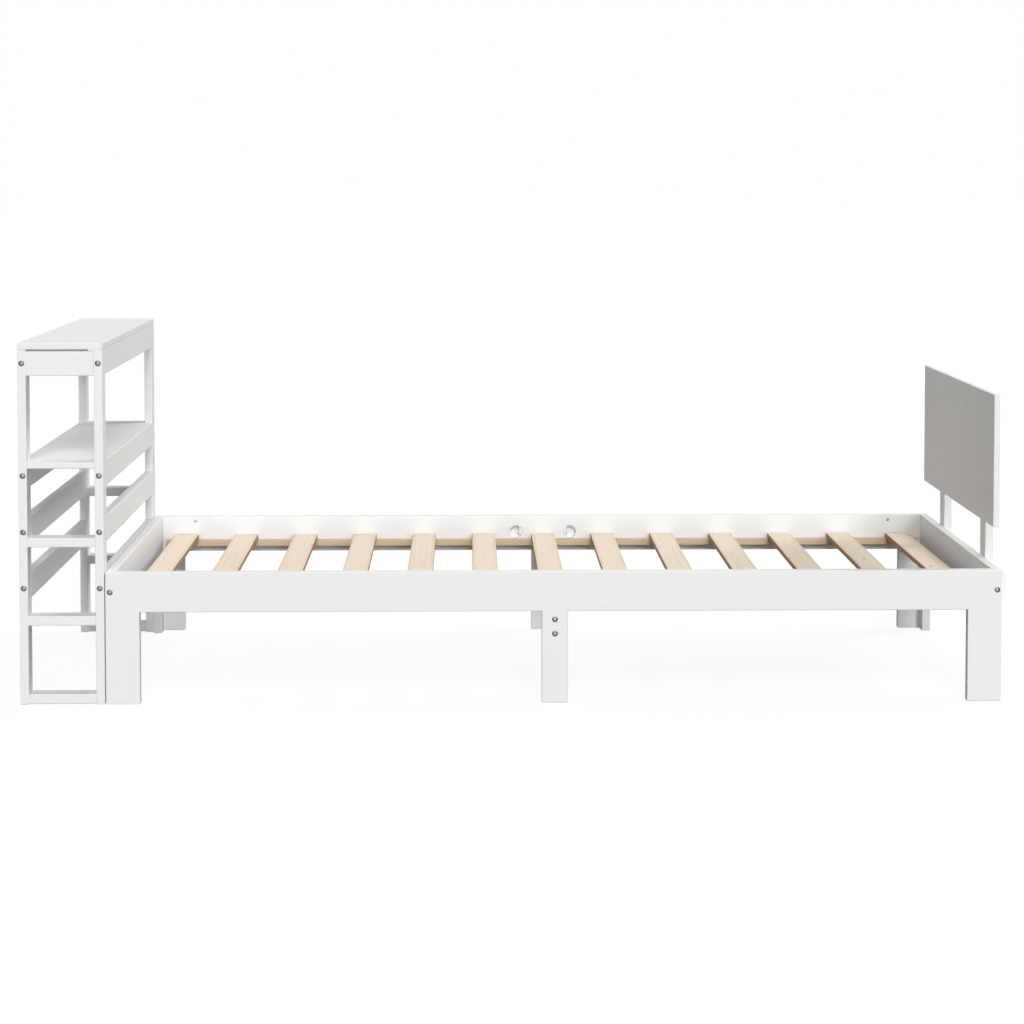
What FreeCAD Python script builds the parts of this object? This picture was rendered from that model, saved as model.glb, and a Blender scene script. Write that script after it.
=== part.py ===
import FreeCAD, Part
import os
import re

# Single bed frame of painted pine: a low slatted bed, a tall narrow bookcase across
# its left end and a panel on two posts at its right end.
# X runs along the bed, Y across it, Z up; the origin is at the middle of the floor area.
# Near is the side at -Y, far the side at +Y. All sizes are in millimetres.

SIZES = {
    # Bed
    "bed_length": 2055,
    "bed_width": 954,
    "leg_height": 212,
    "rail_height": 92,
    "rail_thickness": 25,
    "end_thickness": 21,
    "leg_width": 78,
    "leg_arm": 70,
    "mid_leg_width": 60,
    "block_width": 40,
    "block_depth": 66,
    "block_height": 96,
    "mid_bolt_drop": 19,
    "mid_bolt_spacing": 33,
    "peg_hole_inset": 108,
    "peg_hole_drop": 13,
    "peg_hole_diameter": 8,
    "peg_hole_depth": 12,
    "end_dowel_offset": 28,
    # Slats and what they rest on
    "slat_width": 61,
    "slat_thickness": 13,
    "slat_end_gap": 34,
    "slat_drop": 47,
    "slat_clearance": 4,
    "batten_width": 20,
    "batten_height": 17,
    "batten_clearance": 10,
    "batten_screw_first": 20,
    "block_screw_offset": 10,
    # Joint at the middle of each side rail
    "pocket_diameter": 34,
    "pocket_depth": 16,
    "pocket_offset": 71,
    "pocket_rise": 3,
    "stud_diameter": 6,
    "stud_depth": 9,
    "stud_end": 4,
    "moon_height": 12,
    "moon_chord": 8,
    "moon_clearance": 0.2,
    "joint_dowel_offset": 28,
    # Bookcase
    "bookcase_depth": 193,
    "case_gap": 2,
    "bookcase_height": 829,
    "post_thickness": 20,
    "post_width": 50,
    "top_thickness": 15,
    "top_reveal": 4,
    "apron_height": 56,
    "apron_thickness": 20,
    "apron_dowel_offset": 16,
    "rung_height": 22,
    "rung_first": 2,
    "rung_drop": 6,
    "rung_dowel_offset": 12,
    "book_rail_height": 60,
    "book_rail_rise": 27,
    "book_bolt_rise": 28.5,
    "book_rail_pitch": 129,
    "book_rail_dowel_rise": 18,
    "shelf_thickness": 15,
    # Headboard
    "panel_length": 880,
    "panel_height": 307,
    "panel_thickness": 14,
    "panel_gap": 93,
    "head_post_thickness": 19,
    "head_post_width": 60,
    "head_post_inset": 192,
    "head_post_drop": 40,
    "head_dowel_offset": 15,
    "crossbar_height": 62,
    "crossbar_rise": 13,
    "crossbar_inset": 50,
    # Fasteners and their holes
    "bolt_diameter": 6,
    "bolt_length": 80,
    "bolt_head_diameter": 13,
    "bolt_head_height": 4,
    "bolt_socket": 5,
    "bolt_socket_depth": 2.5,
    "bolt_recess": 0.5,
    "bolt_clearance": 0.5,
    "bolt_hole_room": 3,
    "barrel_diameter": 10,
    "barrel_length": 14,
    "bolt_past_nut": 8.5,
    "barrel_clearance": 0.2,
    "thread_clearance": 0.2,
    "dowel_diameter": 6,
    "dowel_length": 24,
    "dowel_chamfer": 1,
    "dowel_clearance": 0.2,
    "dowel_room": 1,
    "screw_diameter": 4,
    "screw_length": 30,
    "screw_head_diameter": 8,
    "screw_head_height": 2.5,
    "screw_slot_width": 1,
    "screw_slot_depth": 1,
    "screw_clearance": 0.2,
    # Finish
    "edge_round": 2,
    "cut_overrun": 1,
}

SLAT_COUNT = 13
BATTEN_SCREWS = 4
RUNG_COUNT = 3
# The lower three pairs of bookcase rails stand one pitch apart, the fourth pair is under the top
LOWER_RAILS = 3

# Places along a piece, as shares of its length or width
leg_dowel_shares = (0.25, 0.75)
mid_leg_dowel_shares = (-0.25, 0.25)
shelf_dowel_shares = (0.15, 0.5, 0.85)
link_screw_shares = (-0.4, -0.15, 0.15, 0.4)
crossbar_screw_shares = (-0.45, -0.15, 0.15, 0.45)
panel_screw_shares = (0.15, 0.45, 0.75)

# Places that several pieces share, written in the sizes above
BED_MIDDLE = "(bookcase_depth + case_gap - head_post_thickness) / 2"
BED_LEFT = f"({BED_MIDDLE} - bed_length / 2)"
BED_RIGHT = f"({BED_MIDDLE} + bed_length / 2)"
CASE_RIGHT = f"{BED_LEFT} - case_gap"
CASE_LEFT = f"{CASE_RIGHT} - bookcase_depth"
INNER_LENGTH = "(bed_length - 2 * end_thickness)"
INNER_WIDTH = "(bed_width - 2 * rail_thickness)"
SLAT_PITCH = f"({INNER_LENGTH} - 2 * slat_end_gap - slat_width) / {SLAT_COUNT - 1}"
BATTEN_LENGTH = f"({INNER_LENGTH} / 2 - batten_clearance)"
RAIL_TOP = "(leg_height + rail_height)"
RAIL_MIDDLE = "(leg_height + rail_height / 2)"
BATTEN_BOTTOM = f"({RAIL_TOP} - slat_drop - slat_thickness - batten_height)"
POCKET_LEVEL = f"({RAIL_MIDDLE} + pocket_rise)"
POST_TOP = "(bookcase_height - top_thickness)"
APRON_BOTTOM = f"({POST_TOP} - top_reveal - apron_height)"
BOOK_RAIL_LENGTH = "(bed_width - 2 * post_width)"
BOOK_RAIL_FIRST = "(leg_height + book_rail_rise)"
TOP_RUNG = f"({BOOK_RAIL_FIRST} + book_rail_pitch - rung_drop)"
RUNG_PITCH = f"({TOP_RUNG} - rung_first) / {RUNG_COUNT - 1}"
SHELF_RAIL_TOP = f"({BOOK_RAIL_FIRST} + {LOWER_RAILS - 1} * book_rail_pitch + book_rail_height)"
SHELF_BOTTOM = f"({SHELF_RAIL_TOP} - shelf_thickness)"
CASE_INSIDE = "(bookcase_depth - 2 * post_thickness)"
CROSSBAR_BOTTOM = "(leg_height + crossbar_rise)"
CROSSBAR_TOP = f"({CROSSBAR_BOTTOM} + crossbar_height)"
PANEL_BOTTOM = f"({RAIL_TOP} + panel_gap)"

BOLT_SINK = "(bolt_recess + bolt_head_height)"
NUT_REACH = f"({BOLT_SINK} + bolt_length - bolt_past_nut)"

X_AXIS = FreeCAD.Vector(1, 0, 0)
Y_AXIS = FreeCAD.Vector(0, 1, 0)
Z_AXIS = FreeCAD.Vector(0, 0, 1)
# How a tool or fastener that points along +Z is turned to point another way
TURNS = {
    "+z": FreeCAD.Rotation(X_AXIS, 0),
    "-z": FreeCAD.Rotation(X_AXIS, 180),
    "+y": FreeCAD.Rotation(X_AXIS, -90),
    "-y": FreeCAD.Rotation(X_AXIS, 90),
    "+x": FreeCAD.Rotation(Y_AXIS, 90),
    "-x": FreeCAD.Rotation(Y_AXIS, -90),
}
OPPOSITE = {"+": "-", "-": "+"}
INWARD = {"near": "+y", "far": "-y"}

doc = FreeCAD.newDocument("bed_frame")
sheet = doc.addObject("Spreadsheet::Sheet", "sizes")
for row, (name, size) in enumerate(SIZES.items(), start=1):
    sheet.set(f"A{row}", name)
    sheet.set(f"B{row}", str(size))
    sheet.setAlias(f"B{row}", name)
doc.recompute()

pieces = {}
corners = {}
places = {"connector_bolts": [], "barrel_nuts": [], "rail_studs": [], "half_moon_nuts": [],
          "dowels": [], "wood_screws": []}


def bind(item, prop, words):
    """Ties a property to the sheet: every word of the expression but a function is a cell's alias."""
    item.setExpression(prop, re.sub(r"\b[a-z_]+\b(?!\()", r"sizes.\g<0>", words))


def put(item, point):
    """Ties the place of an item to three expressions."""
    for axis, words in zip("xyz", point):
        bind(item, f"Placement.Base.{axis}", words)


def moved(point, toward, distance):
    """The point shifted that distance along one of the six ways."""
    sign, axis = toward
    return [f"{words} {sign} ({distance})" if axis == name else words for name, words in zip("xyz", point)]


def flipped(toward):
    """The opposite way."""
    return OPPOSITE[toward[0]] + toward[1]


def from_side(side, distance):
    """Y of a point that lies a distance in from the bed's near or far face."""
    if side == "near":
        return f"-bed_width / 2 + {distance}"
    return f"bed_width / 2 - ({distance})"


def soft_edges(sharp):
    """Names of a box's edges that lie on none of its sharp faces, found on a unit box."""
    names = []
    for number, edge in enumerate(Part.makeBox(1, 1, 1).Edges, start=1):
        middle = dict(zip("xyz", edge.CenterOfMass))
        if not any(middle[face[1]] == (1 if face[0] == "+" else 0) for face in sharp):
            names.append(f"Edge{number}")
    return names


def board(label, corner, size, sharp):
    """A planed board from its lowest corner; edges on its sharp faces stay square, the rest are eased."""
    body = doc.addObject("PartDesign::Body", label)
    body.Label = label
    blank = body.newObject("PartDesign::AdditiveBox", f"{label}_blank")
    for prop, words in zip(("Length", "Width", "Height"), size):
        bind(blank, prop, words)
    eased = body.newObject("PartDesign::Fillet", f"{label}_eased")
    eased.Base = (blank, soft_edges(sharp))
    bind(eased, "Radius", "edge_round")
    put(body, corner)
    pieces[label] = body
    corners[label] = corner
    return body


def seat(label, start, low, length, width):
    """Squares a stretch of a rail's eased bottom, where a leg is glued under it."""
    block = pieces[label].newObject("PartDesign::AdditiveBox", f"{label}_seat")
    for prop, words in zip(("Length", "Width", "Height"), (length, width, "edge_round")):
        bind(block, prop, words)
    corner = corners[label]
    put(block, (f"{start} - ({corner[0]})", f"{low} - ({corner[1]})", "0"))


def bore(label, point, toward, diameter, depth):
    """A round hole into a piece, from a point on its face; the cutter starts outside the face."""
    body = pieces[label]
    cutter = body.newObject("PartDesign::SubtractiveCylinder", f"{label}_bore")
    cutter.Placement = FreeCAD.Placement(FreeCAD.Vector(), TURNS[toward])
    bind(cutter, "Radius", f"({diameter}) / 2")
    bind(cutter, "Height", f"{depth} + cut_overrun")
    start = moved(point, flipped(toward), "cut_overrun")
    put(cutter, [f"{words} - ({edge})" for words, edge in zip(start, corners[label])])


def countersink(label, point, toward):
    """The cone that takes a screw's head, from the face inwards."""
    cutter = pieces[label].newObject("PartDesign::SubtractiveCone", f"{label}_countersink")
    cutter.Placement = FreeCAD.Placement(FreeCAD.Vector(), TURNS[toward])
    bind(cutter, "Radius1", "(screw_head_diameter + screw_clearance) / 2")
    bind(cutter, "Radius2", "(screw_diameter + screw_clearance) / 2")
    bind(cutter, "Height", "screw_head_height")
    put(cutter, [f"{words} - ({edge})" for words, edge in zip(point, corners[label])])


def dowel_joint(first, second, point, toward):
    """A dowel half in each of two pieces; the point is on their shared face, and second lies that way."""
    diameter = "dowel_diameter + dowel_clearance"
    bore(first, point, flipped(toward), diameter, "dowel_length / 2 + dowel_room")
    bore(second, point, toward, diameter, "dowel_length / 2 + dowel_room")
    places["dowels"].append((moved(point, flipped(toward), "dowel_length / 2"), TURNS[toward]))


def screw_joint(outer, thickness, inner, point, toward, gap="0"):
    """A countersunk screw through the thickness of one piece, across any gap, into another."""
    diameter = "screw_diameter + screw_clearance"
    countersink(outer, point, toward)
    bore(outer, point, toward, diameter, f"{thickness} + cut_overrun")
    entry = moved(point, toward, f"{thickness} + {gap}")
    bore(inner, entry, toward, diameter, f"screw_length - {thickness} - {gap} + screw_clearance")
    places["wood_screws"].append((point, TURNS[toward]))


def bolt_joint(outer, thickness, inner, point, toward, nut_face, nut_toward, inner_thickness):
    """A socket bolt through one piece into a barrel nut let into the next from its face at nut_face in X."""
    bore(outer, point, toward, "bolt_head_diameter + bolt_clearance", BOLT_SINK)
    bore(outer, point, toward, "bolt_diameter + bolt_clearance", f"{thickness} + cut_overrun")
    bore(inner, moved(point, toward, thickness), toward, "bolt_diameter + bolt_clearance",
         f"{BOLT_SINK} + bolt_length + bolt_hole_room - {thickness}")
    nut = moved(point, toward, NUT_REACH)
    bore(inner, [nut_face, nut[1], nut[2]], nut_toward, "barrel_diameter + barrel_clearance",
         f"({inner_thickness} + barrel_length) / 2")
    places["connector_bolts"].append((moved(point, toward, "bolt_recess"), TURNS[toward]))
    places["barrel_nuts"].append((nut, TURNS["+z"]))


# Bed: side rails in two halves, end rails between them

for side in ("near", "far"):
    face = from_side(side, 0)
    low = face if side == "near" else from_side(side, "rail_thickness")
    for end, start, joint in (("left", BED_LEFT, "+x"), ("right", BED_MIDDLE, "-x")):
        label = f"side_rail_{side}_{end}"
        size = ("bed_length / 2", "rail_thickness", "rail_height")
        board(label, (start, low, "leg_height"), size, (joint,))
        leg_left = BED_LEFT if end == "left" else f"{BED_RIGHT} - leg_width"
        seat(label, f"{leg_left} + edge_round", low, "leg_width - 2 * edge_round", "rail_thickness")
        middle_seat = f"{BED_MIDDLE} - mid_leg_width / 2 + edge_round" if end == "left" else BED_MIDDLE
        seat(label, middle_seat, low, "mid_leg_width / 2 - edge_round", "rail_thickness")

for end, start in (("left", BED_LEFT), ("right", f"{BED_RIGHT} - end_thickness")):
    label = f"end_rail_{end}"
    board(label, (start, from_side("near", "rail_thickness"), "leg_height"),
          ("end_thickness", INNER_WIDTH, "rail_height"), ("+y", "-y"))
    for low in (from_side("near", "rail_thickness"), from_side("far", "leg_arm")):
        seat(label, start, low, "end_thickness", "leg_arm - rail_thickness")

for side in ("near", "far"):
    inward = INWARD[side]
    for end, middle, outside, nut_toward in (
            ("left", f"{BED_LEFT} + end_thickness / 2", BED_LEFT, "+x"),
            ("right", f"{BED_RIGHT} - end_thickness / 2", BED_RIGHT, "-x")):
        rail = f"side_rail_{side}_{end}"
        end_rail = f"end_rail_{end}"
        inner_face = from_side(side, "rail_thickness")
        point = (middle, from_side(side, 0), RAIL_MIDDLE)
        bolt_joint(rail, "rail_thickness", end_rail, point, inward, outside, nut_toward, "end_thickness")
        for sign in "-+":
            shared = (middle, inner_face, f"{RAIL_MIDDLE} {sign} end_dowel_offset")
            dowel_joint(rail, end_rail, shared, inward)
        peg = moved((outside, inner_face, f"{RAIL_TOP} - peg_hole_drop"), nut_toward, "peg_hole_inset")
        bore(rail, peg, flipped(inward), "peg_hole_diameter", "peg_hole_depth")

# Joint at mid-length: a stud between two round pockets, drawn up by half-moon nuts, and two dowels

for side in ("near", "far"):
    outward = flipped(INWARD[side])
    inner_face = from_side(side, "rail_thickness")
    joint = (BED_MIDDLE, from_side(side, "rail_thickness - stud_depth"), POCKET_LEVEL)
    for end, toward in (("left", "-x"), ("right", "+x")):
        rail = f"side_rail_{side}_{end}"
        pocket = moved((BED_MIDDLE, inner_face, POCKET_LEVEL), toward, "pocket_offset")
        bore(rail, pocket, outward, "pocket_diameter", "pocket_depth")
        bore(rail, joint, toward, "stud_diameter + bolt_clearance", "pocket_offset")
        nut = moved(joint, toward, "pocket_offset")
        places["half_moon_nuts"].append((nut, FreeCAD.Rotation(Z_AXIS, 0 if end == "left" else 180)))
    places["rail_studs"].append((joint, TURNS["+z"]))
    core = from_side(side, "rail_thickness / 2")
    for sign in "-+":
        shared = (BED_MIDDLE, core, f"{POCKET_LEVEL} {sign} joint_dowel_offset")
        dowel_joint(f"side_rail_{side}_left", f"side_rail_{side}_right", shared, "+x")

# Corner legs: an L of two boards glued under the side rail and the end rail

for side in ("near", "far"):
    for end in ("left", "right"):
        label = f"leg_{side}_{end}"
        left = BED_LEFT if end == "left" else f"{BED_RIGHT} - leg_width"
        low = from_side(side, 0) if side == "near" else from_side(side, "rail_thickness")
        body = board(label, (left, low, "0"), ("leg_width", "rail_thickness", "leg_height"), ("+z",))
        arm = body.newObject("PartDesign::AdditiveBox", f"{label}_arm")
        bind(arm, "Length", "end_thickness")
        bind(arm, "Width", "leg_arm - rail_thickness")
        bind(arm, "Height", "leg_height")
        put(arm, ("0" if end == "left" else "leg_width - end_thickness",
                  "rail_thickness" if side == "near" else "rail_thickness - leg_arm", "0"))
        for share in leg_dowel_shares:
            point = (f"{left} + leg_width * {share}", from_side(side, "rail_thickness / 2"), "leg_height")
            dowel_joint(label, f"side_rail_{side}_{end}", point, "+z")
        middle = f"{BED_LEFT} + end_thickness / 2" if end == "left" else f"{BED_RIGHT} - end_thickness / 2"
        point = (middle, from_side(side, "(rail_thickness + leg_arm) / 2"), "leg_height")
        dowel_joint(label, f"end_rail_{end}", point, "+z")

# Battens along the inside of the side rails, in halves as the rails are, screwed on beneath the slats

for side in ("near", "far"):
    low = from_side(side, "rail_thickness" if side == "near" else "rail_thickness + batten_width")
    inner = from_side(side, "rail_thickness + batten_width")
    for end, way in (("left", "-x"), ("right", "+x")):
        label = f"batten_{side}_{end}"
        start = f"{BED_LEFT} + end_thickness + batten_clearance" if end == "left" else BED_MIDDLE
        size = (BATTEN_LENGTH, "batten_width", "batten_height")
        board(label, (start, low, BATTEN_BOTTOM), size, ("+x", "-x"))
        under_slats = [f"{2 * number} * {SLAT_PITCH}" for number in range(1, BATTEN_SCREWS)]
        for distance in ["batten_screw_first", *under_slats]:
            spot = moved((BED_MIDDLE, inner, f"{BATTEN_BOTTOM} + batten_height / 2"), way, distance)
            screw_joint(label, "batten_width", f"side_rail_{side}_{end}", spot, flipped(INWARD[side]))

# Middle legs under the joints, each bolted to a block that hangs from the battens

for side in ("near", "far"):
    inward = INWARD[side]
    leg = f"mid_leg_{side}"
    block = f"mid_block_{side}"
    low = from_side(side, 0 if side == "near" else "rail_thickness")
    board(leg, (f"{BED_MIDDLE} - mid_leg_width / 2", low, "0"),
          ("mid_leg_width", "rail_thickness", "leg_height"), ("+z",))
    low = from_side(side, "rail_thickness" if side == "near" else "rail_thickness + block_depth")
    board(block, (f"{BED_MIDDLE} - block_width / 2", low, f"{BATTEN_BOTTOM} - block_height"),
          ("block_width", "block_depth", "block_height"), ("+z",))
    for number in range(2):
        level = f"leg_height - mid_bolt_drop - {number} * mid_bolt_spacing"
        bolt_joint(leg, "rail_thickness", block, (BED_MIDDLE, from_side(side, 0), level), inward,
                   f"{BED_MIDDLE} + block_width / 2", "-x", "block_width")
    core = from_side(side, "rail_thickness / 2")
    for end, share in zip(("left", "right"), mid_leg_dowel_shares):
        point = (f"{BED_MIDDLE} + mid_leg_width * {share}", core, "leg_height")
        dowel_joint(leg, f"side_rail_{side}_{end}", point, "+z")
    batten_core = from_side(side, "rail_thickness + batten_width / 2")
    batten_joint = (BED_MIDDLE, batten_core, f"{BATTEN_BOTTOM} + batten_height")
    for end, way in (("left", "-x"), ("right", "+x")):
        point = moved(batten_joint, way, "block_screw_offset")
        screw_joint(f"batten_{side}_{end}", "batten_height", block, point, "-z")

# Slats, at an even pitch about the middle of the bed

for number in range(SLAT_COUNT):
    step = number - (SLAT_COUNT - 1) / 2
    board(f"slat_{number + 1:02d}",
          (f"{BED_MIDDLE} + {step} * {SLAT_PITCH} - slat_width / 2",
           from_side("near", "rail_thickness + slat_clearance"), f"{BATTEN_BOTTOM} + batten_height"),
          ("slat_width", f"{INNER_WIDTH} - 2 * slat_clearance", "slat_thickness"), ("+y", "-y"))

# Bookcase: four posts, ladder rungs and an apron at each narrow end, rails along both long sides

post_edges = {"left": CASE_LEFT, "right": f"{CASE_RIGHT} - post_thickness"}
for side in ("near", "far"):
    low = from_side(side, 0 if side == "near" else "post_width")
    for end, left in post_edges.items():
        board(f"post_{side}_{end}", (left, low, "0"), ("post_thickness", "post_width", POST_TOP), ("+z",))

rail_levels = [f"{BOOK_RAIL_FIRST} + {number} * book_rail_pitch" for number in range(LOWER_RAILS)]
rail_levels.append(f"{POST_TOP} - book_rail_height")
for end, left in post_edges.items():
    shelf_face = "+x" if end == "left" else "-x"
    meets = {LOWER_RAILS: (shelf_face,), LOWER_RAILS + 1: ("+z",)}
    for number, bottom in enumerate(rail_levels, start=1):
        rail = f"book_rail_{end}_{number}"
        board(rail, (left, from_side("near", "post_width"), bottom),
              ("post_thickness", BOOK_RAIL_LENGTH, "book_rail_height"), ("+y", "-y", *meets.get(number, ())))
        middle = f"{left} + post_thickness / 2"
        level = f"{bottom} + book_bolt_rise"
        for side in ("near", "far"):
            post = f"post_{side}_{end}"
            bolt_joint(post, "post_width", rail, (middle, from_side(side, 0), level), INWARD[side],
                       left, "+x", "post_thickness")
            shared = (middle, from_side(side, "post_width"), f"{level} + book_rail_dowel_rise")
            dowel_joint(post, rail, shared, INWARD[side])

for side in ("near", "far"):
    inside = {"left": f"{CASE_LEFT} + post_thickness", "right": f"{CASE_RIGHT} - post_thickness"}
    low = from_side(side, 0 if side == "near" else "post_width")
    for number in range(RUNG_COUNT):
        rung = f"rung_{side}_{number + 1}"
        bottom = f"rung_first + {number} * {RUNG_PITCH}"
        board(rung, (inside["left"], low, bottom), (CASE_INSIDE, "post_width", "rung_height"), ("+x", "-x"))
        for end, outward in (("left", "-x"), ("right", "+x")):
            for sign in "-+":
                level = f"{bottom} + rung_height / 2"
                point = (inside[end], from_side(side, f"post_width / 2 {sign} rung_dowel_offset"), level)
                dowel_joint(rung, f"post_{side}_{end}", point, outward)
    apron = f"apron_{side}"
    low = from_side(side, 0 if side == "near" else "apron_thickness")
    size = (CASE_INSIDE, "apron_thickness", "apron_height")
    board(apron, (inside["left"], low, APRON_BOTTOM), size, ("+x", "-x"))
    for end, outward in (("left", "-x"), ("right", "+x")):
        for sign in "-+":
            level = f"{APRON_BOTTOM} + apron_height / 2 {sign} apron_dowel_offset"
            point = (inside[end], from_side(side, "apron_thickness / 2"), level)
            dowel_joint(apron, f"post_{side}_{end}", point, outward)

board("bookcase_top", (CASE_LEFT, from_side("near", 0), POST_TOP),
      ("bookcase_depth", "bed_width", "top_thickness"), ())
for side in ("near", "far"):
    for end, left in post_edges.items():
        point = (f"{left} + post_thickness / 2", from_side(side, "post_width / 2"), POST_TOP)
        dowel_joint(f"post_{side}_{end}", "bookcase_top", point, "+z")

board("bookcase_shelf", (f"{CASE_LEFT} + post_thickness", from_side("near", 0), SHELF_BOTTOM),
      (CASE_INSIDE, "bed_width", "shelf_thickness"), ("+x", "-x"))
for end, inner, outward in (("left", f"{CASE_LEFT} + post_thickness", "-x"),
                            ("right", f"{CASE_RIGHT} - post_thickness", "+x")):
    for share in shelf_dowel_shares:
        level = f"({SHELF_BOTTOM} + {SHELF_RAIL_TOP}) / 2"
        point = (inner, from_side("near", f"bed_width * {share}"), level)
        dowel_joint("bookcase_shelf", f"book_rail_{end}_{LOWER_RAILS}", point, outward)

for share in link_screw_shares:
    level = f"{BOOK_RAIL_FIRST} + book_rail_height / 2"
    point = (f"{CASE_RIGHT} - post_thickness", f"bed_width * {share}", level)
    screw_joint("book_rail_right_1", "post_thickness", "end_rail_left", point, "+x", "case_gap")

# Headboard: a crossbar outside the right end rail, two posts on it and the panel in front of them

board("headboard_crossbar", (BED_RIGHT, from_side("near", "crossbar_inset"), CROSSBAR_BOTTOM),
      ("head_post_thickness", "bed_width - 2 * crossbar_inset", "crossbar_height"), ("+y", "-y"))
for share in crossbar_screw_shares:
    point = (f"{BED_RIGHT} + head_post_thickness", f"(bed_width - 2 * crossbar_inset) * {share}",
             f"{CROSSBAR_BOTTOM} + crossbar_height / 2")
    screw_joint("headboard_crossbar", "head_post_thickness", "end_rail_right", point, "-x")

board("headboard_panel", (f"{BED_RIGHT} - panel_thickness", "-panel_length / 2", PANEL_BOTTOM),
      ("panel_thickness", "panel_length", "panel_height"), ())
for side in ("near", "far"):
    post = f"headboard_post_{side}"
    low = from_side(side, "head_post_inset" if side == "near" else "head_post_inset + head_post_width")
    centre = from_side(side, "head_post_inset + head_post_width / 2")
    board(post, (BED_RIGHT, low, CROSSBAR_TOP),
          ("head_post_thickness", "head_post_width",
           f"{PANEL_BOTTOM} + panel_height - head_post_drop - {CROSSBAR_TOP}"), ("-z",))
    for share in panel_screw_shares:
        point = (f"{BED_RIGHT} + head_post_thickness", centre, f"{PANEL_BOTTOM} + panel_height * {share}")
        screw_joint(post, "head_post_thickness", "headboard_panel", point, "-x")
    for sign in "-+":
        core = f"{BED_RIGHT} + head_post_thickness / 2"
        point = (core, f"{centre} {sign} head_dowel_offset", CROSSBAR_TOP)
        dowel_joint("headboard_crossbar", post, point, "+z")

# Fasteners: one model of each kind, then a group of copies at the places noted by the joints


def new_fastener(label):
    """An empty body for the model of a fastener."""
    return doc.addObject("PartDesign::Body", label)


def add(body, kind, name, sizes, point=("0", "0", "0"), toward="+z"):
    """A primitive feature of a fastener, with its sizes and place tied to the sheet."""
    feature = body.newObject(f"PartDesign::{kind}", name)
    feature.Placement = FreeCAD.Placement(FreeCAD.Vector(), TURNS[toward])
    for prop, words in sizes.items():
        bind(feature, prop, words)
    put(feature, point)
    return feature


def connector_bolt():
    """Socket bolt along +Z, with the outer face of its head at zero."""
    body = new_fastener("connector_bolt")
    add(body, "AdditiveCylinder", "bolt_head",
        {"Radius": "bolt_head_diameter / 2", "Height": "bolt_head_height"})
    add(body, "AdditiveCylinder", "bolt_shank",
        {"Radius": "bolt_diameter / 2", "Height": "bolt_head_height + bolt_length"})
    socket = add(body, "SubtractivePrism", "bolt_hexagon",
                 {"Circumradius": "bolt_socket / sqrt(3)", "Height": "bolt_socket_depth"})
    socket.Polygon = 6
    return body


def barrel_nut():
    """Cross dowel along X, with its thread along Y."""
    body = new_fastener("barrel_nut")
    add(body, "AdditiveCylinder", "barrel", {"Radius": "barrel_diameter / 2", "Height": "barrel_length"},
        ("-barrel_length / 2", "0", "0"), "+x")
    add(body, "SubtractiveCylinder", "barrel_thread",
        {"Radius": "(bolt_diameter + thread_clearance) / 2", "Height": "2 * barrel_diameter"},
        ("0", "-barrel_diameter", "0"), "+y")
    return body


def rail_stud():
    """Threaded rod along X that reaches a little past both half-moon nuts."""
    body = new_fastener("rail_stud")
    half = "(pocket_offset - moon_chord + stud_end)"
    add(body, "AdditiveCylinder", "stud", {"Radius": "stud_diameter / 2", "Height": f"2 * {half}"},
        (f"-{half}", "0", "0"), "+x")
    return body


def half_moon_nut():
    """Slice of a disc that bears on the +X wall of a pocket, with its thread along X."""
    body = new_fastener("half_moon_nut")
    radius = "(pocket_diameter / 2 - moon_clearance)"
    add(body, "AdditiveCylinder", "moon", {"Radius": radius, "Height": "moon_height"},
        ("0", "-moon_height / 2", "0"), "+y")
    add(body, "SubtractiveBox", "moon_flat",
        {"Length": "pocket_diameter + moon_chord", "Width": "pocket_diameter", "Height": "pocket_diameter"},
        ("-pocket_diameter", "-pocket_diameter / 2", "-pocket_diameter / 2"))
    add(body, "SubtractiveCylinder", "moon_thread",
        {"Radius": "(stud_diameter + thread_clearance) / 2", "Height": "pocket_diameter"}, toward="+x")
    return body


def dowel():
    """Beech dowel along +Z with both ends chamfered."""
    body = new_fastener("dowel")
    peg = add(body, "AdditiveCylinder", "peg", {"Radius": "dowel_diameter / 2", "Height": "dowel_length"})
    ends = body.newObject("PartDesign::Chamfer", "peg_ends")
    ends.Base = (peg, ["Edge1", "Edge3"])
    bind(ends, "Size", "dowel_chamfer")
    return body


def wood_screw():
    """Countersunk screw along +Z, with the face of its head at zero."""
    body = new_fastener("wood_screw")
    add(body, "AdditiveCone", "screw_head",
        {"Radius1": "screw_head_diameter / 2", "Radius2": "screw_diameter / 2",
         "Height": "screw_head_height"})
    add(body, "AdditiveCylinder", "screw_shank",
        {"Radius": "screw_diameter / 2", "Height": "screw_length - screw_diameter"})
    tip = add(body, "AdditiveCone", "screw_tip",
              {"Radius1": "screw_diameter / 2", "Height": "screw_diameter"},
              ("0", "0", "screw_length - screw_diameter"))
    tip.Radius2 = 0
    for name, length, width in (("screw_slot", "screw_diameter", "screw_slot_width"),
                                ("screw_cross", "screw_slot_width", "screw_diameter")):
        add(body, "SubtractiveBox", name, {"Length": length, "Width": width, "Height": "screw_slot_depth"},
            (f"-{length} / 2", f"-{width} / 2", "0"))
    return body


def group(label, model):
    """One node of separate copies of a fastener."""
    copies = []
    for point, turn in places[label]:
        copy = doc.addObject("App::Link", f"{label}_copy")
        copy.LinkedObject = model
        copy.Placement = FreeCAD.Placement(FreeCAD.Vector(), turn)
        put(copy, point)
        copies.append(copy)
    gathered = doc.addObject("Part::Compound", label)
    gathered.Label = label
    gathered.Links = copies
    pieces[label] = gathered


def pair(label, halves):
    """One node for a pair of like pieces."""
    joined = doc.addObject("Part::Compound", label)
    joined.Label = label
    joined.Links = [pieces.pop(half) for half in halves]
    pieces[label] = joined


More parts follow.
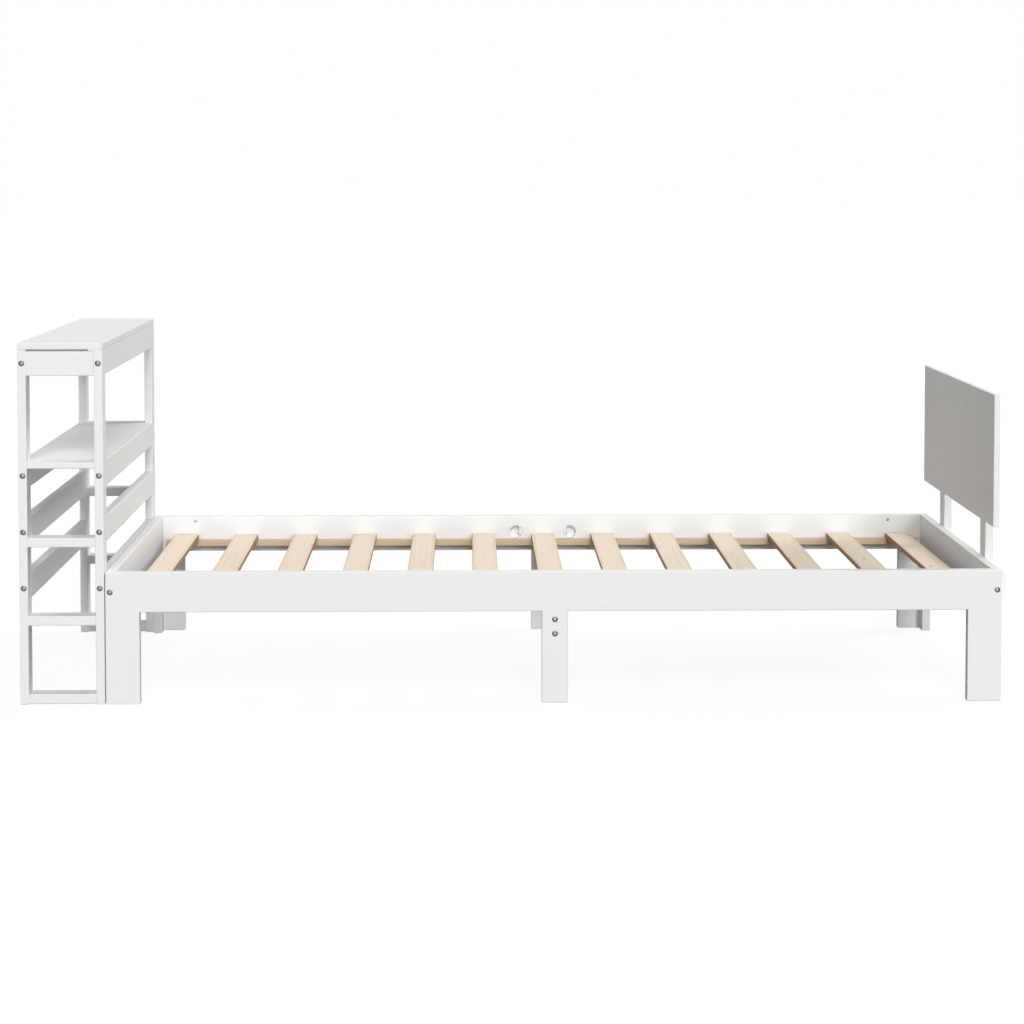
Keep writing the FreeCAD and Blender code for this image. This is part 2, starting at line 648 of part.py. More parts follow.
group("connector_bolts", connector_bolt())
group("barrel_nuts", barrel_nut())
group("rail_studs", rail_stud())
group("half_moon_nuts", half_moon_nut())
group("dowels", dowel())
group("wood_screws", wood_screw())
for side in ("near", "far"):
    pair(f"batten_{side}", [f"batten_{side}_left", f"batten_{side}_right"])
pair("mid_leg_blocks", ["mid_block_near", "mid_block_far"])
doc.recompute()

for item in doc.Objects:
    if "Invalid" in item.State or "Error" in item.State:
        raise RuntimeError(f"{item.Label} could not be built: {item.State}")
for label, piece in pieces.items():
    if piece.Shape.isNull() or not piece.Shape.isValid():
        raise RuntimeError(f"{label} has no valid shape")

os.makedirs("parts", exist_ok=True)
for label, piece in pieces.items():
    piece.Shape.exportStep(f"parts/{label}.step")
    print(label, len(piece.Shape.Solids), round(piece.Shape.Volume))
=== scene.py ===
"""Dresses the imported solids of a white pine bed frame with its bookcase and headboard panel."""
import math

import bpy
import numpy as np
from mathutils import Matrix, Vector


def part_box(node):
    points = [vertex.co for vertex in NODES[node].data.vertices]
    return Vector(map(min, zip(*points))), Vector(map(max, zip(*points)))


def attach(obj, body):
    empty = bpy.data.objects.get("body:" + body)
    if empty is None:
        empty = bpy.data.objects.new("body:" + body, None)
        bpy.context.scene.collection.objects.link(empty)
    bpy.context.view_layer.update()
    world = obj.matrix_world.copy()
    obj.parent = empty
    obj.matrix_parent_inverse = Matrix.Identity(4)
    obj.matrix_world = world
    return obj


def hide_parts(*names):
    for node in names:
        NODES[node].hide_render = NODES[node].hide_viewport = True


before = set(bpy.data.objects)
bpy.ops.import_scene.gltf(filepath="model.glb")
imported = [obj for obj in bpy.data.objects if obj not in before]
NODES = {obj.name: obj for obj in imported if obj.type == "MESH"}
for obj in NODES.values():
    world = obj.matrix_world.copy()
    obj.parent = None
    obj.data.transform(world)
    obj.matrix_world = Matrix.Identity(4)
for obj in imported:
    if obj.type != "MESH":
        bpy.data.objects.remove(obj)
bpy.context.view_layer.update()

MM = 0.001

bl_info = {
    "name": "Pine Bed Frame",
    "version": (1, 0, 0),
    "blender": (4, 5, 0),
    "location": "3D View > Sidebar > Bed frame",
    "description": "Paint, bare pine, steel fasteners and a plain studio for a slatted bed frame",
    "category": "Object",
}

# Directions of a board's grain and face
AXES = {"x": (1, 0, 0), "y": (0, 1, 0), "z": (0, 0, 1)}
# Places of a Mix node's colour sockets, whose names repeat
SHARE, FIRST, SECOND, MIXED = 0, 6, 7, 2

# Across a board the grain's wander changes over this many wander widths, and swings by this many
WANDER_SPREAD, WANDER_SWING = 4, 2
# Rings bend round a knot by up to this many rings, from this many knot radii inwards
KNOT_BEND, KNOT_SWIRL = 2.5, 5
# Places within a growth ring and how late the wood is there; both ends of the ring are early wood
RING_TONES = ((0.55, 0.3), (0.85, 1.0))
# Share of the patches of wood that hold a knot, and share of a knot's radius before it fades
PAINTED_KNOTS, PAINTED_CORE = 0.16, 0.1
BARE_KNOTS, BARE_CORE = 0.07, 0.7
# Share of the late wood in the ridges that stand through the paint, beside the fibres
RING_RIDGES = 0.5
# Share of a slat's half width at which its honey bands start
HONEY_START = 0.6
# Height of the grain's ridges, width of the clouds in zinc plate and of the flecks in beech
RIDGE_HEIGHT, CLOUD_WIDTH, FLECK_WIDTH = 0.1 * MM, 3 * MM, 2 * MM

# Points round a bolt: a multiple of 12 puts points on the hexagon's corners and flats
BOLT_TURNS = 48
# Rings over a bolt's crown, and where the crown starts, counted in half widths of the socket
CROWN_RINGS, CROWN_START = 7, 1.24
# Share of the socket's depth that its chamfered rim takes
RIM_DEPTH = 0.16
# Length and end radius of the tip's chamfer, as shares of the shank's radius
TIP_LENGTH, TIP_RADIUS = 0.3, 0.7
# A bolt's edges above this angle stay sharp
SHARP_ANGLE = math.radians(35)

# From the middle of the floor to its edges, in metres
FLOOR_REACH = 60.0
# Width of the camera's sensor, in millimetres
SENSOR_WIDTH = 36
# Azimuth, elevation and width of each lamp, in degrees
LAMPS = {
    "key": (3, 34, 26),
    "low": (9, 3.5, 11),
    "right": (114, 36, 28),
    "left": (-112, 15, 80),
    "back": (152, 13, 60),
}


def linear(hex_colour):
    """sRGB hex to linear RGB.

    A channel c from 0 to 1 gives c / 12.92 up to 0.04045, and ((c + 0.055) / 1.055) ^ 2.4 above.
    """
    shares = [int(hex_colour[place:place + 2], 16) / 255 for place in (1, 3, 5)]
    return tuple(c / 12.92 if c <= 0.04045 else ((c + 0.055) / 1.055) ** 2.4 for c in shares)


def colour_prop(name, description, hex_colour):
    """A colour that a user can change, with its default written as sRGB hex."""
    return bpy.props.FloatVectorProperty(
        name=name, description=description, subtype="COLOR", size=3, min=0, max=1,
        default=linear(hex_colour))


def length_prop(name, description, millimetres):
    """A length that a user can change, with its default written in millimetres."""
    return bpy.props.FloatProperty(
        name=name, description=description, unit="LENGTH", min=0, default=millimetres * MM)


def angle_prop(name, description, degrees):
    """An angle that a user can change, with its default written in degrees."""
    return bpy.props.FloatProperty(
        name=name, description=description, subtype="ANGLE", default=math.radians(degrees))


def strength_prop(name, description, strength):
    """A strength of light that a user can change."""
    return bpy.props.FloatProperty(name=name, description=description, min=0, default=strength)


def share_prop(name, description, share):
    """A share from 0 to 1 that a user can change."""
    return bpy.props.FloatProperty(
        name=name, description=description, subtype="FACTOR", min=0, max=1, default=share)


class BedFinish(bpy.types.PropertyGroup):
    """Colours and grain sizes of the bed frame's materials."""

    paint: colour_prop("Paint", "White paint over smooth wood", "#F1F1F1")
    paint_shade: colour_prop(
        "Paint shade", "White paint over late wood, where it lies thinner", "#EEEEED")
    paint_knot: colour_prop(
        "Painted knot", "White paint over a knot, where resin tints it", "#E3DFDB")
    pine: colour_prop("Early wood", "Pale wide bands of the slats", "#F5E7D2")
    pine_late: colour_prop("Late wood", "Darker narrow bands of the slats", "#E9D0AB")
    pine_honey: colour_prop(
        "Honey band", "Resin-rich wood near the long edges of the slats", "#E5C499")
    # Painted shade: the colour that the slats' long side faces turn to, darker and browner,
    # standing for the shade they lie in
    pine_side_shade: colour_prop("Sawn edge", "Rough sawn long edges of the slats", "#96663F")
    pine_knot: colour_prop("Bare knot", "Knots of the bare pine", "#B98B5E")
    batten: colour_prop(
        "Batten early wood", "Pale bands of the older wood of battens and blocks", "#DCC5A8")
    batten_late: colour_prop(
        "Batten late wood", "Darker bands of battens and blocks", "#C6A67E")
    beech: colour_prop("Beech", "Dowels", "#DDB98E")
    beech_fleck: colour_prop("Beech fleck", "Short darker flecks of the dowels", "#B98C62")
    zinc: colour_prop("Zinc", "Zinc plate on nuts, studs and screws", "#CDCFD0")
    zinc_dark: colour_prop("Dull zinc", "Dull patches of the plate", "#9A9C9E")
    # The heads' dark grey is partly the dull plate and partly a painted dark reflection of the
    # surroundings
    bolt_head_plate_and_reflection: colour_prop("Bolt head", "Dull plate on the bolt heads", "#636465")
    bolt_patch: colour_prop("Bolt patches", "Lighter patches of the heads", "#77797C")
    # Painted bright reflection on the floor of the bolts' sockets
    socket_reflection: colour_prop(
        "Bolt socket", "Bright plate on the floor of the bolts' sockets", "#9A9B9B")
    ring_width: length_prop("Ring width", "Growth ring, drawn wide enough to show", 7)
    pith_spacing: length_prop(
        "Pith spacing", "Distance between the hearts of the trees sawn into boards", 160)
    wander_length: length_prop("Wander length", "Length over which the grain wanders", 700)
    wander_width: length_prop("Wander width", "How far the grain wanders", 12)
    fibre_length: length_prop("Fibre length", "Length of a fibre streak", 140)
    fibre_width: length_prop(
        "Fibre width", "Width of a fibre streak, drawn wide enough to show", 3)
    knot_cell: length_prop("Knot spacing", "Patch of wood that can hold one knot", 130)
    knot_radius: length_prop("Knot radius", "Radius of a small knot", 6)
    smudge_radius: length_prop(
        "Smudge radius", "Radius of a knot as it shows through the paint", 12)


class BedBolts(bpy.types.PropertyGroup):
    """Sizes and places of the hex-socket bolts."""

    head_width: length_prop("Head width", "Width of the round head", 13)
    head_height: length_prop(
        "Head height", "Height of the head from its underside to its crown", 4)
    crown: length_prop("Crown", "How far the head's rim lies below its crown", 1.6)
    socket_width: length_prop("Socket width", "Hexagon socket across its flats", 5)
    socket_depth: length_prop("Socket depth", "Depth of the hexagon socket", 2.5)
    shank_width: length_prop("Shank width", "Width of the shank", 6)
    shank_length: length_prop("Shank length", "Length of the shank under the head", 80)
    recess: length_prop("Recess", "How far the crown lies below the wood's face", 0.5)
    rail_rise: length_prop(
        "Rise in a bookcase rail", "Height of a bolt above the rail's lower edge", 28.5)
    leg_drop: length_prop(
        "Drop in a middle leg", "Depth of the upper bolt below the leg's top", 19)
    leg_pitch: length_prop("Pitch in a middle leg", "Distance between the two bolts", 33)


class BedStage(bpy.types.PropertyGroup):
    """Camera and light of the studio."""

    camera_place: bpy.props.FloatVectorProperty(
        name="Camera place", description="Where the camera stands", subtype="TRANSLATION",
        unit="LENGTH", size=3, default=(-0.1166, -6.1968, 1.2220))
    camera_pitch: angle_prop("Camera pitch", "How far the camera looks down", 3.128)
    camera_yaw: angle_prop("Camera yaw", "How far the camera looks to the right", 1.063)
    camera_lens: bpy.props.FloatProperty(
        name="Lens", description="Focal length", subtype="DISTANCE_CAMERA", default=88.533)
    camera_shift: bpy.props.FloatProperty(
        name="Shift", description="Vertical shift, as a share of the frame", default=-0.2)
    key_strength: strength_prop("Key light", "Strength of the lamp high in front", 1.87)
    low_strength: strength_prop("Low light", "Strength of the lamp low in front", 1.04)
    right_strength: strength_prop(
        "Right light", "Strength of the lamp high on the right, a little behind", 1.34)
    left_strength: strength_prop("Left light", "Strength of the broad lamp on the left", 0.58)
    back_strength: strength_prop("Back light", "Strength of the broad lamp behind", 0.6)
    sky_strength: strength_prop("Room light", "Even light from all round", 0.15)
    backdrop: colour_prop("Backdrop", "Floor and backdrop as seen", "#FFFFFF")
    floor_bounce: share_prop("Floor bounce", "Share of light that the floor throws back", 0.2)
    floor_glow: strength_prop("Floor glow", "Strength of the floor's white as seen", 1.06)
    floor_shadow: share_prop("Floor shadow", "How much of the shadow shows on the floor", 0.16)


def node(tree, kind, links=None, **settings):
    """Adds a node; settings are its own properties, links give each input a value or a socket."""
    made = tree.nodes.new(kind)
    for name, value in settings.items():
        setattr(made, name, value)
    for place, value in (links or {}).items():
        if isinstance(value, bpy.types.NodeSocket):
            tree.links.new(value, made.inputs[place])
        else:
            made.inputs[place].default_value = value
    return made


def opaque(colour):
    """A colour property as four numbers."""
    return (*colour, 1.0)


def new_material(name):
    """An empty material and its node tree."""
    material = bpy.data.materials.new(name)
    material.use_nodes = True
    material.node_tree.nodes.clear()
    return material, material.node_tree


def board_place(tree, grain, face):
    """Object coordinates turned: X along the grain, Y across the face and Z into the board."""
    across = (set(AXES) - {grain, face}).pop()
    rows = Matrix((AXES[grain], AXES[across], AXES[face]))
    if rows.determinant() < 0:
        rows[2] = -rows[2]
    here = node(tree, "ShaderNodeTexCoord")
    return node(tree, "ShaderNodeMapping",
                {"Vector": here.outputs["Object"], "Rotation": rows.to_euler("XYZ")}).outputs[0]


def pine_figure(tree, place, sizes, knot_share, knot_radius, knot_core):
    """Growth rings, fibres and knots of sawn pine at a place in the board.

    Rings: (distance from the nearest heart + grain wander) / ring width, plus a bulge round each
    knot; the fraction of that rises slowly through the early wood and falls at the end of the
    late wood. A knot fades from full at the core share of its radius to none at its rim.
    Returns the sockets of rings, fibres and knots, each from 0 to 1.
    """
    across = 1 / (WANDER_SPREAD * sizes.wander_width)
    wander_place = node(tree, "ShaderNodeVectorMath",
                        {0: place, 1: (1 / sizes.wander_length, across, across)},
                        operation="MULTIPLY")
    wander = node(tree, "ShaderNodeTexNoise",
                  {"Vector": wander_place.outputs[0], "Scale": 1.0, "Detail": 1.5})
    parts = node(tree, "ShaderNodeSeparateXYZ", {"Vector": place}).outputs
    heart_place = node(tree, "ShaderNodeCombineXYZ", {"X": parts["Y"], "Y": parts["Z"]})
    heart = node(tree, "ShaderNodeTexVoronoi",
                 {"Vector": heart_place.outputs[0], "Scale": 1 / sizes.pith_spacing},
                 voronoi_dimensions="2D")
    knots = node(tree, "ShaderNodeTexVoronoi",
                 {"Vector": place, "Scale": 1 / sizes.knot_cell}, voronoi_dimensions="2D")
    chance = node(tree, "ShaderNodeSeparateColor", {"Color": knots.outputs["Color"]})
    there = node(tree, "ShaderNodeMath",
                 {0: chance.outputs["Red"], 1: knot_share}, operation="LESS_THAN")
    rim = knot_radius / sizes.knot_cell
    fade = node(tree, "ShaderNodeMapRange",
                {"Value": knots.outputs["Distance"], "From Min": rim,
                 "From Max": knot_core * rim, "To Min": 0.0, "To Max": 1.0},
                interpolation_type="SMOOTHSTEP")
    swirl = node(tree, "ShaderNodeMapRange",
                 {"Value": knots.outputs["Distance"],
                  "From Min": KNOT_SWIRL * sizes.knot_radius / sizes.knot_cell, "From Max": 0.0,
                  "To Min": 0.0, "To Max": KNOT_BEND},
                 interpolation_type="SMOOTHSTEP")
    knot = node(tree, "ShaderNodeMath",
                {0: fade.outputs[0], 1: there.outputs[0]}, operation="MULTIPLY")
    bulge = node(tree, "ShaderNodeMath",
                 {0: swirl.outputs[0], 1: there.outputs[0]}, operation="MULTIPLY")
    radius = node(tree, "ShaderNodeMath",
                  {0: heart.outputs["Distance"], 1: sizes.pith_spacing / sizes.ring_width,
                   2: bulge.outputs[0]}, operation="MULTIPLY_ADD")
    phase = node(tree, "ShaderNodeMath",
                 {0: wander.outputs[0], 1: WANDER_SWING * sizes.wander_width / sizes.ring_width,
                  2: radius.outputs[0]}, operation="MULTIPLY_ADD")
    ring = node(tree, "ShaderNodeMath", {0: phase.outputs[0]}, operation="FRACT")
    rings = node(tree, "ShaderNodeValToRGB", {"Fac": ring.outputs[0]})
    ramp = rings.color_ramp
    ramp.interpolation = "EASE"
    for position, level in RING_TONES:
        ramp.elements.new(position).color = (level, level, level, 1)
    ramp.elements[0].color = (0, 0, 0, 1)
    ramp.elements[-1].color = (0, 0, 0, 1)
    fibre_scale = (1 / sizes.fibre_length, 1 / sizes.fibre_width, 1 / sizes.fibre_width)
    fibre_place = node(tree, "ShaderNodeVectorMath",
                       {0: place, 1: fibre_scale}, operation="MULTIPLY")
    fibres = node(tree, "ShaderNodeTexNoise",
                  {"Vector": fibre_place.outputs[0], "Scale": 1.0, "Detail": 2.0})
    return rings.outputs[0], fibres.outputs[0], knot.outputs[0]


def painted_pine(name, finish, grain, face):
    """Pine under a sprayed coat of white acrylic paint.

    The eye sees an even off-white, half matt; the rings and fibres stand through the thin coat as
    faint long streaks and as slight ridges, and a few knots show as soft warm smudges.
    """
    material, tree = new_material(name)
    rings, fibres, knot = pine_figure(
        tree, board_place(tree, grain, face), finish,
        PAINTED_KNOTS, finish.smudge_radius, PAINTED_CORE)
    streak = node(tree, "ShaderNodeMath", {0: rings, 1: fibres}, operation="MULTIPLY")
    coat = node(tree, "ShaderNodeMix",
                {SHARE: streak.outputs[0], FIRST: opaque(finish.paint),
                 SECOND: opaque(finish.paint_shade)}, data_type="RGBA")
    tinted = node(tree, "ShaderNodeMix",
                  {SHARE: knot, FIRST: coat.outputs[MIXED], SECOND: opaque(finish.paint_knot)},
                  data_type="RGBA")
    gloss = node(tree, "ShaderNodeMapRange", {"Value": fibres, "To Min": 0.46, "To Max": 0.58})
    ridges = node(tree, "ShaderNodeMath",
                  {0: rings, 1: RING_RIDGES, 2: fibres}, operation="MULTIPLY_ADD")
    relief = node(tree, "ShaderNodeBump",
                  {"Strength": 0.25, "Distance": RIDGE_HEIGHT, "Height": ridges.outputs[0]})
    surface = node(tree, "ShaderNodeBsdfPrincipled",
                   {"Base Color": tinted.outputs[MIXED], "Roughness": gloss.outputs[0],
                    "Normal": relief.outputs[0], "IOR": 1.48, "Specular IOR Level": 0.12})
    node(tree, "ShaderNodeOutputMaterial", {"Surface": surface.outputs[0]})
    return material


def bare_pine(name, finish, grain, face, early, late, row=None):
    """Planed pine with no coat.

    The eye sees pale cream bands between soft honey lines that run along the board, fine darker
    fibres and here and there a small brown knot. A row of slats, given as the middle, pitch and
    half width of its boards along X, also has honey bands near the long edges, and its long side
    faces are painted browner and darker to stand for their shade.
    """
    material, tree = new_material(name)
    rings, fibres, knot = pine_figure(
        tree, board_place(tree, grain, face), finish, BARE_KNOTS, finish.knot_radius, BARE_CORE)
    shade = node(tree, "ShaderNodeMapRange",
                 {"Value": fibres, "From Min": 0.3, "From Max": 0.7, "To Min": 0.1, "To Max": 0.55})
    streak = node(tree, "ShaderNodeMath", {0: rings, 1: shade.outputs[0]}, operation="MULTIPLY")
    wood = node(tree, "ShaderNodeMix",
                {SHARE: streak.outputs[0], FIRST: opaque(early), SECOND: opaque(late)},
                data_type="RGBA")
    if row:
        middle, pitch, half = row
        here = node(tree, "ShaderNodeTexCoord").outputs["Object"]
        along = node(tree, "ShaderNodeSeparateXYZ", {"Vector": here}).outputs["X"]
        shifted = node(tree, "ShaderNodeMath", {0: along, 1: middle}, operation="SUBTRACT")
        off_middle = node(tree, "ShaderNodeMath",
                          {0: shifted.outputs[0], 1: pitch / 2}, operation="PINGPONG")
        near_edge = node(tree, "ShaderNodeMapRange",
                         {"Value": off_middle.outputs[0], "From Min": HONEY_START * half,
                          "From Max": half, "To Min": 0.0, "To Max": 0.9},
                         interpolation_type="SMOOTHSTEP")
        honey = node(tree, "ShaderNodeMath",
                     {0: near_edge.outputs[0], 1: fibres}, operation="MULTIPLY")
        wood = node(tree, "ShaderNodeMix",
                    {SHARE: honey.outputs[0], FIRST: wood.outputs[MIXED],
                     SECOND: opaque(finish.pine_honey)}, data_type="RGBA")
        # Painted shade: faces that look along X, the slats' long sides, turn darker and browner to
        # stand for their shade
        facing = node(tree, "ShaderNodeNewGeometry").outputs["Normal"]
        sideways = node(tree, "ShaderNodeVectorMath",
                        {0: facing, 1: AXES["x"]}, operation="DOT_PRODUCT")
        square = node(tree, "ShaderNodeMath",
                      {0: sideways.outputs["Value"]}, operation="ABSOLUTE")
        sawn = node(tree, "ShaderNodeMapRange",
                    {"Value": square.outputs[0], "From Min": 0.5, "From Max": 0.95,
                     "To Min": 0.0, "To Max": 0.85})
        wood = node(tree, "ShaderNodeMix",
                    {SHARE: sawn.outputs[0], FIRST: wood.outputs[MIXED],
                     SECOND: opaque(finish.pine_side_shade)}, data_type="RGBA")
    knotted = node(tree, "ShaderNodeMix",
                   {SHARE: knot, FIRST: wood.outputs[MIXED], SECOND: opaque(finish.pine_knot)},
                   data_type="RGBA")
    gloss = node(tree, "ShaderNodeMapRange", {"Value": fibres, "To Min": 0.55, "To Max": 0.7})
    relief = node(tree, "ShaderNodeBump",
                  {"Strength": 0.3, "Distance": RIDGE_HEIGHT, "Height": fibres})
    surface = node(tree, "ShaderNodeBsdfPrincipled",
                   {"Base Color": knotted.outputs[MIXED], "Roughness": gloss.outputs[0],
                    "Normal": relief.outputs[0], "IOR": 1.5, "Specular IOR Level": 0.3})
    node(tree, "ShaderNodeOutputMaterial", {"Surface": surface.outputs[0]})
    return material


def zinc_steel(name, finish):
    """Steel with a bright zinc plate.

    The eye sees a cool grey metal, half dull, with cloudy patches a few millimetres wide.
    """
    material, tree = new_material(name)
    here = node(tree, "ShaderNodeTexCoord")
    clouds = node(tree, "ShaderNodeTexNoise",
                  {"Vector": here.outputs["Object"], "Scale": 1 / CLOUD_WIDTH, "Detail": 3.0})
    plate = node(tree, "ShaderNodeMix",
                 {SHARE: clouds.outputs[0], FIRST: opaque(finish.zinc),
                  SECOND: opaque(finish.zinc_dark)}, data_type="RGBA")
    gloss = node(tree, "ShaderNodeMapRange",
                 {"Value": clouds.outputs[0], "To Min": 0.28, "To Max": 0.5})
    surface = node(tree, "ShaderNodeBsdfPrincipled",
                   {"Base Color": plate.outputs[MIXED], "Metallic": 1.0,
                    "Roughness": gloss.outputs[0]})
    node(tree, "ShaderNodeOutputMaterial", {"Surface": surface.outputs[0]})
    return material


def bolt_steel(name, finish):
    """Steel bolts with a dull zinc plate.

    The eye sees dark grey heads with soft cloudy patches, their grey partly the dull plate and
    partly a painted dark reflection, and a painted bright reflection on the floor of the socket;
    the attribute socket is 1 there and 0 on the rest.
    """
    material, tree = new_material(name)
    here = node(tree, "ShaderNodeTexCoord")
    clouds = node(tree, "ShaderNodeTexNoise",
                  {"Vector": here.outputs["Object"], "Scale": 1 / CLOUD_WIDTH, "Detail": 3.0})
    socket = node(tree, "ShaderNodeAttribute", attribute_name="socket")
    dull = node(tree, "ShaderNodeMix",
                {SHARE: clouds.outputs[0], FIRST: opaque(finish.bolt_head_plate_and_reflection),
                 SECOND: opaque(finish.bolt_patch)}, data_type="RGBA")
    # The socket floors take the painted bright reflection
    plate = node(tree, "ShaderNodeMix",
                 {SHARE: socket.outputs["Fac"], FIRST: dull.outputs[MIXED],
                  SECOND: opaque(finish.socket_reflection)}, data_type="RGBA")
    gloss = node(tree, "ShaderNodeMapRange",
                 {"Value": clouds.outputs[0], "To Min": 0.35, "To Max": 0.5})
    surface = node(tree, "ShaderNodeBsdfPrincipled",
                   {"Base Color": plate.outputs[MIXED], "Metallic": 1.0,
                    "Roughness": gloss.outputs[0]})
    node(tree, "ShaderNodeOutputMaterial", {"Surface": surface.outputs[0]})
    return material


def beech_wood(name, finish):
    """Turned beech.

    The eye sees an even pinkish tan with short darker flecks a few millimetres long.
    """
    material, tree = new_material(name)
    here = node(tree, "ShaderNodeTexCoord")
    flecks = node(tree, "ShaderNodeTexNoise",
                  {"Vector": here.outputs["Object"], "Scale": 1 / FLECK_WIDTH, "Detail": 2.0})
    wood = node(tree, "ShaderNodeMix",
                {SHARE: flecks.outputs[0], FIRST: opaque(finish.beech),
                 SECOND: opaque(finish.beech_fleck)}, data_type="RGBA")
    surface = node(tree, "ShaderNodeBsdfPrincipled",
                   {"Base Color": wood.outputs[MIXED], "Roughness": 0.6})
    node(tree, "ShaderNodeOutputMaterial", {"Surface": surface.outputs[0]})
    return material


def dress(material, *beginnings):
    """Gives the material to every node whose name starts with one of the words."""
    for name, piece in NODES.items():
        if name.startswith(beginnings):
            piece.material_slots[0].material = material


class BED_OT_painted_boards(bpy.types.Operator):
    """Paint the rails, legs, posts, panel, shelf and top, with the grain along each board"""

    bl_idname = "bed_frame.painted_boards"
    bl_label = "Painted boards"

    def execute(self, context):
        finish = context.scene.bed_finish
        dress(painted_pine("painted_pine_lengthwise", finish, "x", "y"),
              "side_rail", "apron", "rung")
        dress(painted_pine("painted_pine_crosswise", finish, "y", "x"),
              "end_rail", "book_rail", "headboard_crossbar", "headboard_panel")
        dress(painted_pine("painted_pine_flat", finish, "y", "z"),
              "bookcase_top", "bookcase_shelf")
        dress(painted_pine("painted_pine_leg", finish, "z", "y"),
              "leg_", "mid_leg_near", "mid_leg_far")
        dress(painted_pine("painted_pine_post", finish, "z", "x"),
              "post_", "headboard_post")
        return {"FINISHED"}


class BED_OT_slats(bpy.types.Operator):
    """Leave the slats, battens and blocks as bare pine"""

    bl_idname = "bed_frame.slats"
    bl_label = "Slats and battens"

    def execute(self, context):
        finish = context.scene.bed_finish
        slats = sorted(name for name in NODES if name.startswith("slat"))
        (low, _, _), (high, _, _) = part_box(slats[0])
        middle, half = (low + high) / 2, (high - low) / 2
        pitch = (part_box(slats[-1])[0][0] - low) / (len(slats) - 1)
        new, old = (finish.pine, finish.pine_late), (finish.batten, finish.batten_late)
        dress(bare_pine("bare_pine_slat", finish, "y", "z", *new, (middle, pitch, half)), "slat")
        dress(bare_pine("bare_pine_batten", finish, "x", "y", *old), "batten")
        dress(bare_pine("bare_pine_block", finish, "z", "y", *old), "mid_leg_blocks")
        return {"FINISHED"}


def bolt_rings(sizes):
    """Radius, depth and hexagon share of a bolt's rings, from its socket's floor to its tip.

    The crown is a cap of a sphere: its depth at radius r is R - sqrt(R^2 - r^2), counted from the
    socket's rim, where R = (head radius^2 + crown^2) / (2 crown).
    """
    head, hexagon, shank = sizes.head_width / 2, sizes.socket_width / 2, sizes.shank_width / 2
    ball = (head ** 2 + sizes.crown ** 2) / (2 * sizes.crown)
    radius = np.linspace(CROWN_START * hexagon, head, CROWN_RINGS)
    sag = ball - np.sqrt(ball ** 2 - radius ** 2)
    tip = sizes.head_height + sizes.shank_length
    socket = [(hexagon, sizes.socket_depth, 1), (hexagon, RIM_DEPTH * sizes.socket_depth, 1)]
    shaft = [(head, sizes.head_height, 0), (shank, sizes.head_height, 0),
             (shank, tip - TIP_LENGTH * shank, 0), (TIP_RADIUS * shank, tip, 0)]
    return np.concatenate([socket, np.stack([radius, sag - sag[0], 0 * radius], axis=-1), shaft])


def bolt_places(sizes):
    """Outer end of each bolt.

    There are four in each bookcase post, one at each end of a side rail and two in a middle leg;
    the far ones mirror the near ones in Y.
    """
    def middle(name, axis):
        return sum(corner[axis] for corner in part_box(name)) / 2

    spots = []
    for side in ("left", "right"):
        for level in (1, 2, 3, 4):
            rail_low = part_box(f"book_rail_{side}_{level}")[0][2]
            spots.append((middle(f"post_near_{side}", 0), rail_low + sizes.rail_rise))
    for side in ("left", "right"):
        spots.append((middle(f"end_rail_{side}", 0), middle(f"side_rail_near_{side}", 2)))
    leg_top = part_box("mid_leg_near")[1][2]
    for pitch in (0, sizes.leg_pitch):
        spots.append((middle("mid_leg_near", 0), leg_top - sizes.leg_drop - pitch))
    across, up = np.array(spots).T
    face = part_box("mid_leg_far")[1][1] - sizes.recess
    near = np.stack([across, 0 * across - face, up], axis=-1)
    return np.concatenate([near, near * (1, -1, 1)])


def bolt_mesh(name, rings, places):
    """Bolts as one mesh, each a surface of rings by turns.

    A ring at turn t is the point (r cos t, depth, r sin t) with r = radius * (1 - h + h / cos u),
    where u is t folded to within a twelfth of a turn of zero, so that a hexagon share h of 1
    gives a hexagon by its flats and 0 a circle. A bolt on the far side is turned half round
    about Z.
    """
    turns = np.linspace(0, 2 * np.pi, BOLT_TURNS, endpoint=False)
    folded = (turns + np.pi / 6) % (np.pi / 3) - np.pi / 6
    radius, depth, share = rings.T[:, :, None]
    reach = radius * (1 - share + share / np.cos(folded))
    shape = np.stack([reach * np.cos(turns), depth + 0 * reach, reach * np.sin(turns)], axis=-1)
    facing = np.where(places[:, 1:2] < 0, (1, 1, 1), (-1, -1, 1))
    points = places[:, None, None] + facing[:, None, None] * shape
    corner = np.arange(points[..., 0].size).reshape(points.shape[:3])
    after = np.roll(corner, -1, axis=2)
    quads = np.stack([corner[:, :-1], corner[:, 1:], after[:, 1:], after[:, :-1]], axis=-1)
    floors, tips = corner[:, 0], corner[:, -1, ::-1]
    mesh = bpy.data.meshes.new(name)
    mesh.from_pydata(points.reshape(-1, 3).tolist(), [],
                     quads.reshape(-1, 4).tolist() + floors.tolist() + tips.tolist())
    # The socket floors are marked for the painted bright reflection
    bright = np.zeros(corner.shape, np.float32)
    bright[:, 0] = 1
    mesh.attributes.new("socket", "FLOAT", "POINT").data.foreach_set("value", bright.ravel())
    mesh.shade_smooth()
    mesh.set_sharp_from_angle(angle=SHARP_ANGLE)
    mesh.update()
    return mesh


class BED_OT_bolts(bpy.types.Operator):
    """Set the hex-socket bolts into the posts, rails and middle legs"""

    bl_idname = "bed_frame.bolts"
    bl_label = "Bolts"

    def execute(self, context):
        sizes = context.scene.bed_bolts
        bolts = bpy.data.objects.new(
            "socket_bolts", bolt_mesh("socket_bolts", bolt_rings(sizes), bolt_places(sizes)))
        bolts.data.materials.append(bolt_steel("dull_zinc_bolt_steel", context.scene.bed_finish))
        context.scene.collection.objects.link(bolts)
        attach(bolts, "root")
        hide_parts("connector_bolts")
        return {"FINISHED"}


